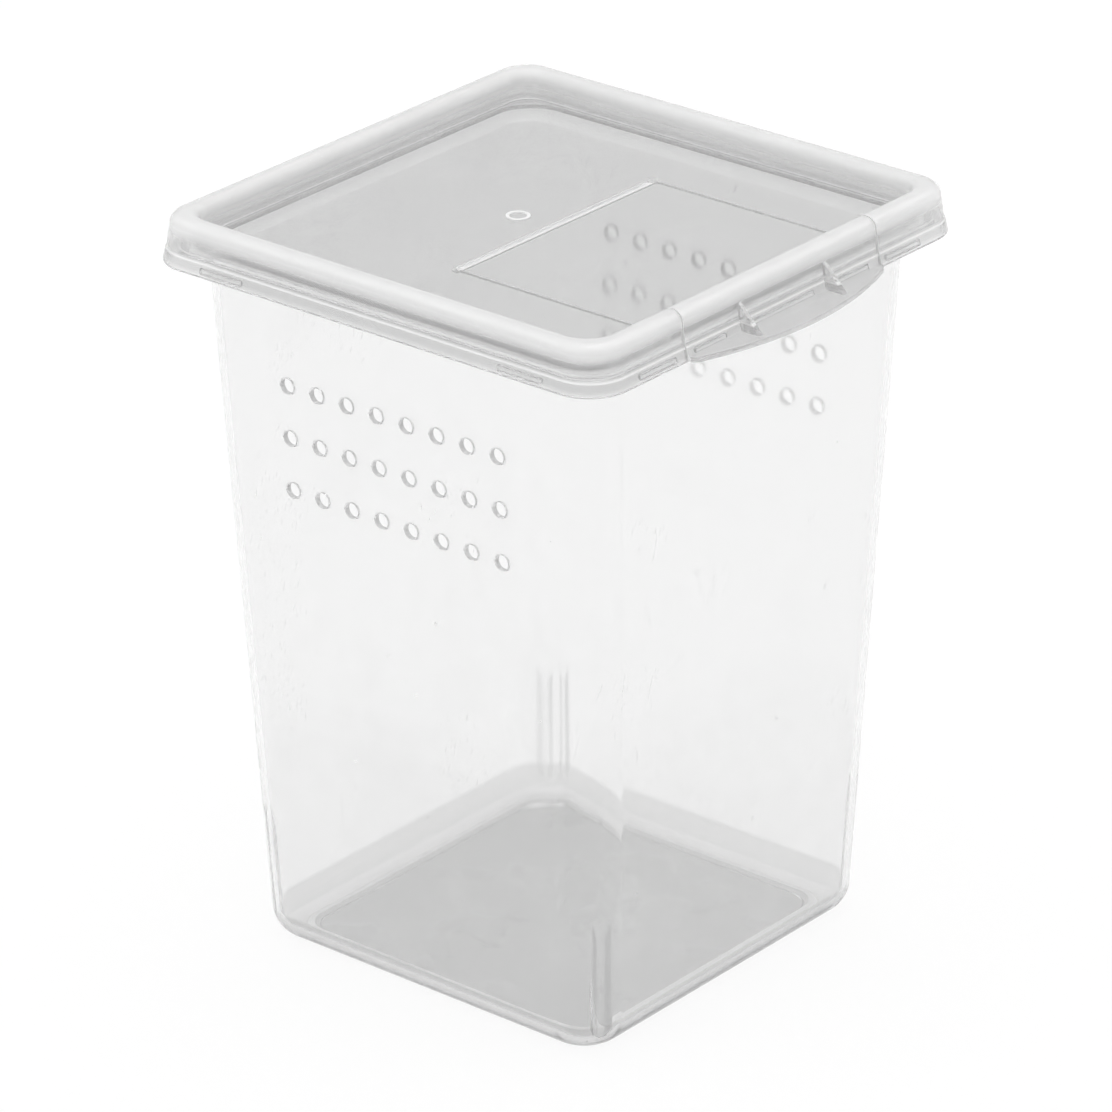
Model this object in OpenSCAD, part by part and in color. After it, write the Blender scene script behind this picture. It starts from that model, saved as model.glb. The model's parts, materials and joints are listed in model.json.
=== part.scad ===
// Plastic pet keeper: a tall translucent box with air holes and a press-on lid
// whose front half carries a flap for feeding, hinged on a thin web of the same plastic.
// Millimetres, +Z up. The origin is the middle of the base, on the ground.
// The flap and its pull ledge are at the front, on the -Y side.
// The air holes are in the two side walls, -X and +X.

/* [View] */

/* [Tub] */

// Height of the lid's lower edge above the ground
lid_seat_height = 143.6; // [80:0.1:200]

// Outer width of the tub at the height of the lid's lower edge
tub_width = 98.4; // [96:0.1:98.4]

// How much each wall leans out, in mm for each mm of height
wall_lean = 0.0436; // [0.02:0.0001:0.0436]

// Radius of the tub's upright corners, on the outside
corner_radius = 9.5; // [8:0.1:10]

// Radius between the walls and the base, on the outside
base_fillet = 6.3; // [4:0.1:7]

// Thickness of the walls
wall = 1.3; // [1:0.1:1.4]

// Thickness of the base
floor_thickness = 1.6; // [1.2:0.1:2.4]

// Half the width of the slightly raised middle of the floor
floor_panel_half = 36.4; // [30:0.1:36.4]

// Height of that raised middle
floor_panel_step = 0.4; // [0.2:0.1:0.8]

// Half the width of the shallow recess under the base, inside the ring the tub stands on
foot_recess_half = 35; // [30:0.1:35]

// Corner radius of that recess
foot_recess_corner = 5.5; // [3:0.1:8]

// Depth of that recess
foot_recess_depth = 0.5; // [0.2:0.1:0.8]

/* [Tub rim] */

// Outer half-width of the rim above the step
rim_half = 52; // [51.8:0.1:52]

// Thickness of the rim
rim_thickness = 1.6; // [1.2:0.1:1.6]

// Height of the step's underside over the lid's lower edge
step_low = 1.7; // [1.4:0.1:1.8]

// Height of the step's upper face over the lid's lower edge
step_high = 2.7; // [2.5:0.1:2.7]

// Height of the rim's top over the lid's lower edge
rim_top = 7.9; // [7:0.1:7.9]

// How far the snap ridge stands out from the rim
ridge_reach = 0.7; // [0.3:0.1:0.7]

// Height of the snap ridge
ridge_height = 1.2; // [0.8:0.1:1.6]

/* [Air holes] */

// Diameter of one air hole
hole_diameter = 3.2; // [2:0.1:4]

// Number of holes in a row
hole_columns = 8; // [2:1:8]

// Number of rows
hole_rows = 3; // [1:1:6]

// Distance between the holes of a row
hole_pitch = 7.36; // [5:0.01:7.4]

// Distance between the rows
row_pitch = 10.87; // [6:0.01:14]

// Distance of the top row below the lid's lower edge
top_row_drop = 20.1; // [12:0.1:40]

/* [Corner ribs] */

// Width of the upright rib inside each lower corner
rib_width = 3.8; // [2:0.1:5]

// How far a rib stands out from the inside of its corner
rib_reach = 1; // [0.6:0.1:2]

// Height of a rib's top above the ground
rib_height = 34.6; // [15:0.1:60]

// Turn of the front and back ribs off the corner's diagonal, in degrees
rib_turn = 17; // [0:1:20]

/* [Lid] */

// Outer width of the lid at its lower edge
lid_width = 110; // [110:0.1:114]

// Outer corner radius at the lower edge
lid_corner_radius = 8.4; // [8.4:0.1:12]

// Thickness of the skirt and of the rounded rim
lid_wall = 1; // [0.8:0.1:1]

// Height of the point where the skirt turns into the rounded rim
skirt_height = 7.25; // [7.25:0.01:8]

// How much the skirt flares out from there to the lower edge, on each side
skirt_flare = 1.4; // [0.8:0.1:1.6]

// Radius of the rounded rim
crown_radius = 2.3; // [2.3:0.1:2.4]

// Height of the thick lip round the lower edge
lip_height = 0.8; // [0.5:0.1:1]

// How far that lip stands out
lip_reach = 0.3; // [0.1:0.1:0.4]

// Height of the panel's upper face over the lid's lower edge
panel_top = 4; // [4:0.1:5]

// Thickness of the panel
panel_thickness = 1; // [0.8:0.1:1]

// Half the width of the sunk panel
panel_half = 48.4; // [47:0.1:48.4]

// Corner radius of the sunk panel
panel_corner_radius = 4.5; // [3:0.1:8]

/* [Snap beads] */

// Radius of a snap bead inside the skirt
bead_radius = 0.7; // [0.4:0.1:0.7]

// Height of the beads' centre line over the lid's lower edge
bead_height = 0.95; // [0.8:0.01:1.2]

// Length of a corner bead
bead_length = 10.4; // [6:0.1:11]

// Distance of a corner bead's middle from the middle of its side
bead_offset = 36.4; // [35.5:0.1:38]

// Length of the long bead in the middle of the flap
middle_bead_length = 18.5; // [8:0.1:24]

// Length of the two short beads on the flap
flap_bead_length = 9; // [4:0.1:10]

// Distance of those beads' middles from the middle of the flap
flap_bead_offset = 21.2; // [18:0.1:22]

/* [Flap] */

// Half the width of the flap
flap_half = 28.65; // [26:0.05:28.65]

// Free gap between the flap and the lid on each side
flap_gap = 0.5; // [0.4:0.05:0.6]

// Half the width of the bare strip that is left for the hinge web
hinge_strip_half = 0.9; // [0.9:0.05:1.2]

// Thickness of the hinge web
web_thickness = 0.45; // [0.3:0.05:0.5]

// How deep the web lies under the panel's upper face
web_drop = 0.1; // [0.05:0.05:0.15]

// Diameter of the small relief hole at each end of the hinge
relief_diameter = 1.7; // [1.4:0.1:1.8]

/* [Pull ledge] */

// Distance of the ledge's outermost point from the middle of the lid
ledge_reach = 61.5; // [59:0.1:64]

// Radius of the ledge's curved edge
ledge_radius = 78; // [70:1:90]

// Thickness of the ledge
ledge_thickness = 1; // [0.8:0.1:1.4]

// Radius of the ledge's two outer corners
ledge_corner = 2.2; // [1:0.1:3]

// Distance of each gusset from the middle of the flap
gusset_offset = 12.6; // [6:0.1:20]

// Thickness of a gusset
gusset_thickness = 1.2; // [0.8:0.1:2]

// Height of a gusset's top over the lid's lower edge
gusset_height = 6.3; // [4:0.1:6.4]

// How far a gusset runs out along the ledge, from the skirt
gusset_run = 4.3; // [2:0.1:4.4]

/* [Gate mark] */

// Outer diameter of the moulding gate mark on the panel
gate_diameter = 4.8; // [3:0.1:7]

// Inner diameter of its ring
gate_inner = 3.4; // [1.5:0.1:3.4]

// Height of its ring
gate_height = 0.3; // [0.1:0.1:0.6]

// Place of the mark left or right of the middle
gate_x = -1.6; // [-10:0.1:10]

// Place of the mark behind the hinge
gate_y = 8.2; // [6:0.1:40]

/* [Hidden] */

// Segments of a full circle on true round surfaces
$fn = 64;

// Segments of a full circle on the leaning corners, which are made of flats
corner_facets = 48;

// A little extra, so that cuts run past the faces they open
cut = 1;

// Thickness of the thin discs that mark the top of a leaning box
mark = 0.02;

tub_top_z = lid_seat_height + step_high;
inner_fillet = base_fillet - wall;
inner_corner = corner_radius - wall;
rim_corner = corner_radius - 3;

lid_half = lid_width / 2;
skirt_top_half = lid_half - skirt_flare;
crown_half = skirt_top_half - crown_radius;
crown_top = skirt_height + crown_radius;
lid_axis = lid_half - lid_corner_radius;
panel_axis = panel_half - panel_corner_radius;
panel_low = panel_top - panel_thickness;
pocket_lean = 0.3;
pocket_half = panel_half + pocket_lean;
plug_lean = 0.4;
plug_half = panel_half + lid_wall;
plug_top = crown_top - lid_wall + 0.35;
frame_half = flap_half + flap_gap;

web_top = panel_top - web_drop;
web_half_length = frame_half - relief_diameter / 2;

skirt_inner_half = lid_half - lid_wall;
bead_line = skirt_inner_half - 0.25;

// Half the outer width of the tub at a height above the ground
function outer_half(z) = tub_width / 2 + wall_lean * (z - lid_seat_height);

// Half the width of the lid's outer skirt at a height over its lower edge
function skirt_half(z) = lid_half - skirt_flare * z / skirt_height;

// Box with upright rounded corners, true round
module round_block(half, radius, low, high) {
    long = 2 * half;
    short = 2 * (half - radius);
    translate([-long / 2, -short / 2, low]) cube([long, short, high - low]);
    translate([-short / 2, -long / 2, low]) cube([short, long, high - low]);
    for (x = [-1, 1], y = [-1, 1]) {
        translate([x * short / 2, y * short / 2, low]) cylinder(r = radius, h = high - low);
    }
}

// Block whose edge follows the outline given as a child, round all four sides and corners.
// The outline is drawn from the corner's axis outwards and fills it from low to high.
module edged_block(axis, low, high) {
    for (turn = [0, 90]) {
        rotate([90, 0, turn]) linear_extrude(height = 2 * axis, center = true) {
            translate([axis, 0]) children();
            mirror([1, 0]) translate([axis, 0]) children();
            translate([-axis, low]) square([2 * axis, high - low]);
        }
    }
    for (x = [-1, 1], y = [-1, 1]) {
        translate([x * axis, y * axis, 0]) rotate_extrude() children();
    }
}

// Leaning box with rounded corners and a rounded foot, closed at the top
module leaning_box(low, high, inset, radius, fillet) {
    top = outer_half(high) - inset - radius;
    foot = outer_half(low + fillet) - inset - radius;
    hull() {
        for (x = [-1, 1], y = [-1, 1]) {
            translate([x * top, y * top, high - mark])
                cylinder(r = radius, h = mark, $fn = corner_facets);
            translate([x * foot, y * foot, low + fillet])
                rotate_extrude($fn = corner_facets)
                    intersection() {
                        translate([radius - fillet, 0]) circle(r = fillet, $fn = corner_facets);
                        translate([0, -fillet]) square([radius, fillet]);
                    }
        }
    }
}

// The air holes, each through both side walls
module air_holes() {
    for (column = [0 : hole_columns - 1], row = [0 : hole_rows - 1]) {
        y = (column - (hole_columns - 1) / 2) * hole_pitch;
        z = lid_seat_height - top_row_drop - row * row_pitch;
        translate([0, y, z]) rotate([0, 90, 0])
            cylinder(d = hole_diameter, h = tub_width + 2 * cut, center = true, $fn = 32);
    }
}

// One upright rib, drawn in the corner's own plane, running up along the leaning corner
module corner_rib(turn) {
    inner = inner_corner - rib_reach;
    root = inner_corner + wall / 2;
    low = base_fillet / 2;
    start = outer_half(0) - corner_radius;
    lean = atan(wall_lean * sqrt(2));
    translate([start, start, 0]) rotate([0, 0, 45]) rotate([0, lean, 0]) rotate([90, 0, turn])
        linear_extrude(height = rib_width, center = true)
            polygon([
                [inner, low],
                [inner_corner, low],
                [root, base_fillet],
                [root, rib_height],
                [inner, rib_height - 2 * rib_reach]
            ]);
}

// Tub: leaning walls, stepped rim with its snap ridge, base, air holes and corner ribs
module tub() {
    color([0.90, 0.92, 0.93, 0.55]) {
        difference() {
            union() {
                leaning_box(0, tub_top_z, 0, corner_radius, base_fillet);
                round_block(rim_half, rim_corner, lid_seat_height + step_low, lid_seat_height + rim_top);
                round_block(rim_half + ridge_reach, rim_corner + ridge_reach,
                    lid_seat_height + step_low, lid_seat_height + step_low + ridge_height);
            }
            leaning_box(floor_thickness, tub_top_z + cut, wall, inner_corner, inner_fillet);
            round_block(rim_half - rim_thickness, rim_corner - rim_thickness,
                tub_top_z, lid_seat_height + rim_top + cut);
            air_holes();
            round_block(foot_recess_half, foot_recess_corner, -cut, foot_recess_depth);
        }
        round_block(floor_panel_half, inner_corner - inner_fillet / 2,
            floor_thickness / 2, floor_thickness + floor_panel_step);
        for (side = [0 : 3]) {
            // the ribs beside the front and back corners are turned, the other two are not
            turned = side % 2 == 0 ? (side == 0 ? -rib_turn : rib_turn) : 0;
            rotate([0, 0, 90 * side]) corner_rib(turned);
        }
    }
}

// Outline of the lid's outside, from the corner's axis outwards
module lid_outline() {
    crown = crown_half - lid_axis;
    polygon([
        [0, 0],
        [lid_corner_radius, 0],
        [lid_corner_radius, lip_height],
        [skirt_half(lip_height) - lid_axis - lip_reach, lip_height + 0.2],
        [skirt_top_half - lid_axis, skirt_height],
        [0, skirt_height]
    ]);
    translate([crown, skirt_height]) circle(r = crown_radius);
    translate([0, skirt_height]) square([crown, crown_radius]);
}

// Outline of the hollow under the skirt and the rounded rim
module hollow_outline() {
    crown = crown_half - lid_axis;
    inner_top = skirt_top_half - lid_wall - lid_axis;
    slope = skirt_flare / skirt_height;
    polygon([
        [0, -cut],
        [lid_corner_radius - lid_wall + slope * cut, -cut],
        [inner_top, skirt_height],
        [0, skirt_height]
    ]);
    translate([crown, skirt_height]) circle(r = crown_radius - lid_wall);
    translate([0, skirt_height]) square([crown, crown_radius - lid_wall]);
}

// Outline of the plug that carries the panel and fits inside the tub's rim
module plug_outline() {
    edge = plug_half - panel_axis;
    polygon([[0, panel_low], [edge, panel_low], [edge + plug_lean, plug_top], [0, plug_top]]);
}

// Outline of the sunk pocket over the panel, with the rim's rounded inner edge left standing
module pocket_outline() {
    edge = pocket_half - panel_axis;
    polygon([
        [0, panel_top],
        [panel_corner_radius, panel_top],
        [edge, skirt_height],
        [edge, skirt_height + mark],
        [0, skirt_height + mark]
    ]);
    difference() {
        translate([0, skirt_height]) square([edge + crown_radius, crown_radius + cut]);
        translate([edge + crown_radius, skirt_height]) circle(r = crown_radius);
    }
}

// Straight snap bead along the inside of the front skirt
module snap_bead(x, length) {
    translate([x, -bead_line, bead_height]) rotate([0, 90, 0])
        cylinder(r = bead_radius, h = length, center = true, $fn = 32);
}

// The whole lid moulding before the flap is cut out of it, from its lower edge upwards
module lid_moulding() {
    difference() {
        union() {
            difference() {
                edged_block(lid_axis, 0, crown_top) lid_outline();
                edged_block(lid_axis, -cut, crown_top - lid_wall) hollow_outline();
            }
            edged_block(panel_axis, panel_low, plug_top) plug_outline();
        }
        edged_block(panel_axis, panel_top, crown_top + cut) pocket_outline();
    }
}

// Everything the flap leaves free: its own width, the gaps beside it, the hinge strip
// and the small relief hole at each end of the hinge
module flap_opening() {
    translate([-frame_half, -ledge_reach, -2 * cut])
        cube([2 * frame_half, ledge_reach + hinge_strip_half, crown_top + 4 * cut]);
    for (end = [-1, 1]) {
        translate([end * frame_half, 0, 0]) cylinder(d = relief_diameter, h = crown_top);
    }
}

// Fixed part of the lid: skirt, rounded rim, sunk panel, gate mark, snap beads
module lid_frame() {
    color([0.82, 0.84, 0.86, 0.6]) translate([0, 0, lid_seat_height]) {
        difference() {
            lid_moulding();
            flap_opening();
        }
        for (side = [0 : 3], end = [-1, 1]) {
            rotate([0, 0, 90 * side]) snap_bead(end * bead_offset, bead_length);
        }
        translate([gate_x, gate_y, panel_top - mark]) difference() {
            cylinder(d = gate_diameter, h = gate_height + mark);
            translate([0, 0, -cut]) cylinder(d = gate_inner, h = gate_height + 3 * cut);
        }
    }
}

// Thin web that joins the flap to the lid
module living_hinge() {
    color([0.86, 0.88, 0.89, 0.6]) translate([0, 0, lid_seat_height])
        translate([-web_half_length, -hinge_strip_half, web_top - web_thickness])
            cube([2 * web_half_length, 2 * hinge_strip_half, web_thickness]);
}

// Plate under the fingers, with its curved edge and rounded outer corners
module pull_ledge() {
    root = skirt_inner_half + lid_wall / 2;
    centre = ledge_radius - ledge_reach;
    corner_x = flap_half - ledge_corner;
    corner_y = centre - sqrt(pow(ledge_radius - ledge_corner, 2) - pow(corner_x, 2));
    linear_extrude(height = ledge_thickness) {
        intersection() {
            translate([0, centre]) circle(r = ledge_radius, $fn = 128);
            translate([-corner_x, -ledge_reach - cut]) square([2 * corner_x, ledge_reach + cut - root]);
        }
        for (end = [-1, 1]) {
            translate([end * corner_x, corner_y]) circle(r = ledge_corner, $fn = 48);
        }
        translate([-flap_half, corner_y]) square([2 * flap_half, -corner_y - root]);
    }
}

// Three-cornered web between the skirt and the ledge
module gusset(x) {
    foot = skirt_half(ledge_thickness);
    translate([x, 0, 0]) rotate([90, 0, -90]) linear_extrude(height = gusset_thickness, center = true)
        polygon([
            [foot - lid_wall / 2, ledge_thickness / 2],
            [foot + gusset_run, ledge_thickness / 2],
            [foot + gusset_run, ledge_thickness],
            [skirt_half(gusset_height), gusset_height],
            [skirt_half(gusset_height) - lid_wall / 2, gusset_height]
        ]);
}

// Feeding flap: its part of the panel, rim and skirt, with the pull ledge and its snap beads
module feeding_door() {
    color([0.86, 0.88, 0.90, 0.6]) translate([0, 0, lid_seat_height]) {
        intersection() {
            lid_moulding();
            translate([-flap_half, -ledge_reach, -cut])
                cube([2 * flap_half, ledge_reach - hinge_strip_half, crown_top + 2 * cut]);
        }
        pull_ledge();
        gusset(-gusset_offset);
        gusset(gusset_offset);
        snap_bead(0, middle_bead_length);
        for (end = [-1, 1]) {
            snap_bead(end * flap_bead_offset, flap_bead_length);
        }
    }
}

tub();
lid_frame();
living_hinge();
feeding_door();
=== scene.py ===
import json
import logging
import math
from contextlib import contextmanager
from dataclasses import dataclass, field
from enum import Enum
from itertools import product
from typing import Callable, Iterable, Iterator, Optional, Sequence, Union

import bmesh
import bpy
from mathutils import Matrix, Vector

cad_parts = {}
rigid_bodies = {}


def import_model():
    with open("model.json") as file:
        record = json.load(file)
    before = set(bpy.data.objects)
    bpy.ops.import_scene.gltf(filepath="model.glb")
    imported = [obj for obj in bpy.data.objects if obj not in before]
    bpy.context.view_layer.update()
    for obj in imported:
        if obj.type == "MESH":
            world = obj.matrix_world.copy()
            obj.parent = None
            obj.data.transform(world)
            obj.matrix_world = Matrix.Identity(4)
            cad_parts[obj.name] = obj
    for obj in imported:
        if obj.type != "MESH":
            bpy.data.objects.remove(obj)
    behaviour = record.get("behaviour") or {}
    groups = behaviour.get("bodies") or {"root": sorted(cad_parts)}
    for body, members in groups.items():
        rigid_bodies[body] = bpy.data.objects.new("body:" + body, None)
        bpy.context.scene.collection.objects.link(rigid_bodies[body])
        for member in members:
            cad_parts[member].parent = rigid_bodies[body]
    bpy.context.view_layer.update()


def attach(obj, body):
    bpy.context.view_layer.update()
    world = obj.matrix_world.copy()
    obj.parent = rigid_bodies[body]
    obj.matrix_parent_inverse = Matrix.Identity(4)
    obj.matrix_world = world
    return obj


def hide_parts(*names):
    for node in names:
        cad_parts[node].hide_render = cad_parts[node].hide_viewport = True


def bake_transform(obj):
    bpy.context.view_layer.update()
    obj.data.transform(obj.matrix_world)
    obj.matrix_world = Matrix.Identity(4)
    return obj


log = logging.getLogger("pet_keeper")

MM = 0.001

Piece = bpy.types.Object
Face = bpy.types.MeshPolygon
Tree = bpy.types.NodeTree
Node = bpy.types.Node
Socket = bpy.types.NodeSocket
Colour = tuple[float, float, float, float]
Profile = list["Ring"]
Marks = list[tuple[Node, float]]


class Body(Enum):
    """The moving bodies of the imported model."""

    TUB = "tub"
    LID = "lid"
    FLAP = "flap"


class Cut(Enum):
    """What a boolean does with its second shape."""

    TAKE_AWAY = "DIFFERENCE"
    JOIN = "UNION"
    KEEP_COMMON = "INTERSECT"


class Part(Enum):
    """What edit mode selects, with Blender's three switches for it."""

    VERTS = (True, False, False)
    EDGES = (False, True, False)
    FACES = (False, False, True)


# --------------------------------------------------------------------------- small tools


def linear_colour(hex_code: str) -> Colour:
    """Turns an sRGB hex colour into Blender's linear colour.

    Args:
        hex_code: Six hex digits, such as "E8ECEE".

    Returns:
        Linear red, green and blue, and an alpha of 1.
    """

    def channel(text: str) -> float:
        """Turns one pair of hex digits linear."""
        value = int(text, 16) / 255
        return value / 12.92 if value <= 0.04045 else ((value + 0.055) / 1.055) ** 2.4

    return tuple(channel(hex_code[i : i + 2]) for i in (0, 2, 4)) + (1.0,)


def empty_tree(owner: Union[bpy.types.Material, bpy.types.World]) -> Tree:
    """Switches a material or a world to nodes and clears them.

    Args:
        owner: The material or world.

    Returns:
        Its empty node tree.
    """
    owner.use_nodes = True
    owner.node_tree.nodes.clear()
    return owner.node_tree


def add_node(
    tree: Tree,
    kind: str,
    settings: Optional[dict] = None,
    values: Optional[dict] = None,
    links: Optional[dict] = None,
) -> Node:
    """Adds one shader node with its settings, socket values and incoming links.

    Args:
        tree: The node tree that gets the node.
        kind: The node's type name, without "ShaderNode".
        settings: Attributes set on the node itself.
        values: Socket values, by input name or number.
        links: What comes in, by input name or number: an output socket, or a node for its first output.

    Returns:
        The new node.
    """
    node = tree.nodes.new("ShaderNode" + kind)
    for name, value in (settings or {}).items():
        setattr(node, name, value)
    for name, value in (values or {}).items():
        node.inputs[name].default_value = value
    for name, source in (links or {}).items():
        tree.links.new(source.outputs[0] if isinstance(source, Node) else source, node.inputs[name])
    return node


def select_only(*pieces: Piece) -> None:
    """Leaves only these objects selected, the first of them active.

    Args:
        *pieces: The objects to select.
    """
    if bpy.context.object and bpy.context.object.mode != "OBJECT":
        bpy.ops.object.mode_set(mode="OBJECT")
    for other in bpy.context.view_layer.objects:
        other.select_set(False)
    for piece in pieces:
        piece.select_set(True)
    bpy.context.view_layer.objects.active = pieces[0]


@contextmanager
def editing(piece: Piece) -> Iterator[None]:
    """Keeps one piece in edit mode while a block runs.

    Args:
        piece: The piece.

    Returns:
        Nothing: the block selects and shapes the mesh itself.
    """
    select_only(piece)
    bpy.ops.object.mode_set(mode="EDIT")
    yield
    bpy.ops.object.mode_set(mode="OBJECT")


def choose(piece: Piece, part: Part, test: Callable[..., bool] = lambda item: True) -> None:
    """Selects what passes a test, and nothing else, on a piece in edit mode.

    Args:
        piece: The piece.
        part: Whether vertices, edges or faces are tested.
        test: The test. Without one, all of them pass.
    """
    bpy.context.tool_settings.mesh_select_mode = part.value
    bpy.ops.mesh.select_all(action="DESELECT")
    items = getattr(bmesh.from_edit_mesh(piece.data), part.name.lower())
    items.index_update()
    for item in items:
        if test(item):
            item.select_set(True)
    bmesh.update_edit_mesh(piece.data)


def face_outwards() -> None:
    """Turns all faces of the piece in edit mode outwards."""
    bpy.ops.mesh.select_all(action="SELECT")
    bpy.ops.mesh.normals_make_consistent(inside=False)


def extrude(x: float, y: float, z: float) -> None:
    """Extrudes what is selected in edit mode by a way in mm."""
    bpy.ops.mesh.extrude_region_move(TRANSFORM_OT_translate={"value": (x * MM, y * MM, z * MM)})


def apply_modifier(piece: Piece, kind: str, **settings: object) -> None:
    """Adds one modifier to a piece and applies it.

    Args:
        piece: The piece.
        kind: The modifier's type name.
        **settings: The modifier's attributes.
    """
    select_only(piece)
    modifier = piece.modifiers.new(kind.lower(), kind)
    for name, value in settings.items():
        setattr(modifier, name, value)
    bpy.ops.object.modifier_apply(modifier=modifier.name)


def combine(piece: Piece, other: Piece, cut: Cut) -> None:
    """Cuts, joins or crops a piece with another shape, and removes that shape.

    Args:
        piece: The piece that is changed.
        other: The shape it is changed with.
        cut: What to do with that shape.
    """
    apply_modifier(piece, "BOOLEAN", operation=cut.value, object=other, solver="EXACT")
    bpy.data.objects.remove(other)


def newest(name: str) -> Piece:
    """Names the object that was just added, and gives it back."""
    bpy.context.object.name = name
    return bpy.context.object


def settle(piece: Piece) -> Piece:
    """Moves a piece's place, turn and scale into its mesh, so that its object sits at the origin.

    Args:
        piece: The piece.

    Returns:
        The same piece.
    """
    select_only(piece)
    bpy.ops.object.transform_apply(location=True, rotation=True, scale=True)
    return piece


def joined(pieces: Sequence[Piece], name: str) -> Piece:
    """Joins several shapes into one object without merging their surfaces.

    Args:
        pieces: The shapes.
        name: The name of the result.

    Returns:
        The joined object.
    """
    select_only(*pieces)
    bpy.ops.object.join()
    return newest(name)


def smooth(piece: Piece, angle: float = 35.0) -> None:
    """Shades a piece smooth, with flat faces kept flat by weighing the normals by face size.

    Args:
        piece: The piece.
        angle: Edges sharper than this many degrees stay sharp.
    """
    select_only(piece)
    bpy.ops.object.shade_smooth_by_angle(angle=math.radians(angle))
    apply_modifier(piece, "WEIGHTED_NORMAL", mode="FACE_AREA", weight=100, keep_sharp=True)


def soften(piece: Piece, width: float, angle: float, steps: int = 2) -> None:
    """Rounds a piece's sharp edges a little, as a mould does.

    Args:
        piece: The piece.
        width: Width of the rounding, in mm.
        angle: Only edges sharper than this many degrees are rounded.
        steps: Segments of the rounding.
    """
    apply_modifier(
        piece,
        "BEVEL",
        width=width * MM,
        segments=steps,
        limit_method="ANGLE",
        angle_limit=math.radians(angle),
        use_clamp_overlap=True,
        miter_outer="MITER_ARC",
    )


# --------------------------------------------------------------------------- shapes to model with


@dataclass(frozen=True)
class Ring:
    """One level of a square moulding with rounded corners, in mm.

    half is half its width, axis is where its corners' centres lie, and z is its height.
    """

    half: float
    axis: float
    z: float

    @property
    def radius(self) -> float:
        """The corner radius."""
        return self.half - self.axis


def arc(
    axis: float, half: float, z: float, radius: float, start: float, stop: float, steps: int
) -> Profile:
    """Rings along an arc of the moulding's section.

    Args:
        axis: Where the corners' centres lie.
        half: The arc's centre, as half a width.
        z: The arc's centre height.
        radius: The arc's radius.
        start: First angle in degrees, 0 pointing outwards and 90 up.
        stop: Last angle in degrees.
        steps: Number of steps.

    Returns:
        steps + 1 rings.
    """
    turns = [math.radians(start + (stop - start) * i / steps) for i in range(steps + 1)]
    return [Ring(half + radius * math.cos(t), axis, z + radius * math.sin(t)) for t in turns]


class RingModel:
    """Models a closed moulding by extruding one rounded square face from ring to ring."""

    def __init__(self, name: str, first: Ring, corner_steps: int) -> None:
        """Starts the moulding with its first face.

        Args:
            name: Name of the piece.
            first: The first ring.
            corner_steps: Segments of each rounded corner.
        """
        bpy.ops.mesh.primitive_plane_add(size=2 * first.half * MM, location=(0, 0, 0))
        self.piece = newest(name)
        self.piece.data.name = name
        self.at = first
        select_only(self.piece)
        bpy.ops.object.mode_set(mode="EDIT")
        choose(self.piece, Part.VERTS)
        bpy.ops.transform.translate(value=(0, 0, first.z * MM))
        bpy.ops.mesh.bevel(
            offset=first.radius * MM,
            offset_type="OFFSET",
            affect="VERTICES",
            segments=corner_steps,
            profile=0.5,
        )
        choose(self.piece, Part.FACES)

    def grow(self, ring: Ring) -> None:
        """Extrudes the open face to the next ring.

        Args:
            ring: The next ring.
        """
        scale = ring.radius / self.at.radius
        shift = (ring.half - self.at.half * scale) * MM
        extrude(0, 0, ring.z - self.at.z)
        if abs(scale - 1) > 1e-7:
            bpy.ops.transform.resize(value=(scale, scale, 1), center_override=(0, 0, 0))
        if abs(shift) > 1e-9:
            self.spread(shift)
        self.at = ring

    def spread(self, shift: float) -> None:
        """Moves each corner of the open face outwards along its diagonal.

        Args:
            shift: The distance along X and along Y, in metres.
        """
        mesh = bmesh.from_edit_mesh(self.piece.data)
        mesh.verts.index_update()
        mesh.faces.index_update()
        cap = next(face for face in mesh.faces if face.select)
        number, rim = cap.index, {vertex.index for vertex in cap.verts}
        for sign_x, sign_y in product((-1, 1), repeat=2):

            def in_corner(vertex: bmesh.types.BMVert) -> bool:
                """Whether a vertex lies in this corner of the open face."""
                return vertex.index in rim and vertex.co.x * sign_x > 0 and vertex.co.y * sign_y > 0

            choose(self.piece, Part.VERTS, in_corner)
            bpy.ops.transform.translate(value=(sign_x * shift, sign_y * shift, 0))
        choose(self.piece, Part.FACES, lambda face: face.index == number)

    def follow(self, rings: Iterable[Ring]) -> None:
        """Grows the moulding through several rings.

        Args:
            rings: The rings, in order. One that repeats the last is passed over.
        """
        for ring in rings:
            if abs(ring.half - self.at.half) + abs(ring.z - self.at.z) > 1e-4:
                self.grow(ring)

    def close(self) -> Piece:
        """Ends the moulding and turns its faces outwards.

        Returns:
            The finished object.
        """
        face_outwards()
        bpy.ops.object.mode_set(mode="OBJECT")
        return self.piece


def block(name: str, low: Sequence[float], high: Sequence[float]) -> Piece:
    """A plain block that cuts or crops another piece, or that a small piece starts from.

    Args:
        name: Its name.
        low: Lowest corner, in mm.
        high: Highest corner, in mm.

    Returns:
        The block.
    """
    bpy.ops.mesh.primitive_cube_add(size=1, location=[(a + b) / 2 * MM for a, b in zip(low, high)])
    piece = newest(name)
    piece.scale = [(b - a) * MM for a, b in zip(low, high)]
    return settle(piece)


def rod(name: str, radius: float, length: float, place: Sequence[float], axis: str, sides: int) -> Piece:
    """A round rod along X or Z.

    Args:
        name: Its name.
        radius: Its radius, in mm.
        length: Its length, in mm.
        place: Its middle, in mm.
        axis: "X" or "Z".
        sides: Number of sides.

    Returns:
        The rod.
    """
    bpy.ops.mesh.primitive_cylinder_add(
        vertices=sides,
        radius=radius * MM,
        depth=length * MM,
        location=[value * MM for value in place],
        rotation=(0, math.pi / 2 if axis == "X" else 0, 0),
    )
    return settle(newest(name))


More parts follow.
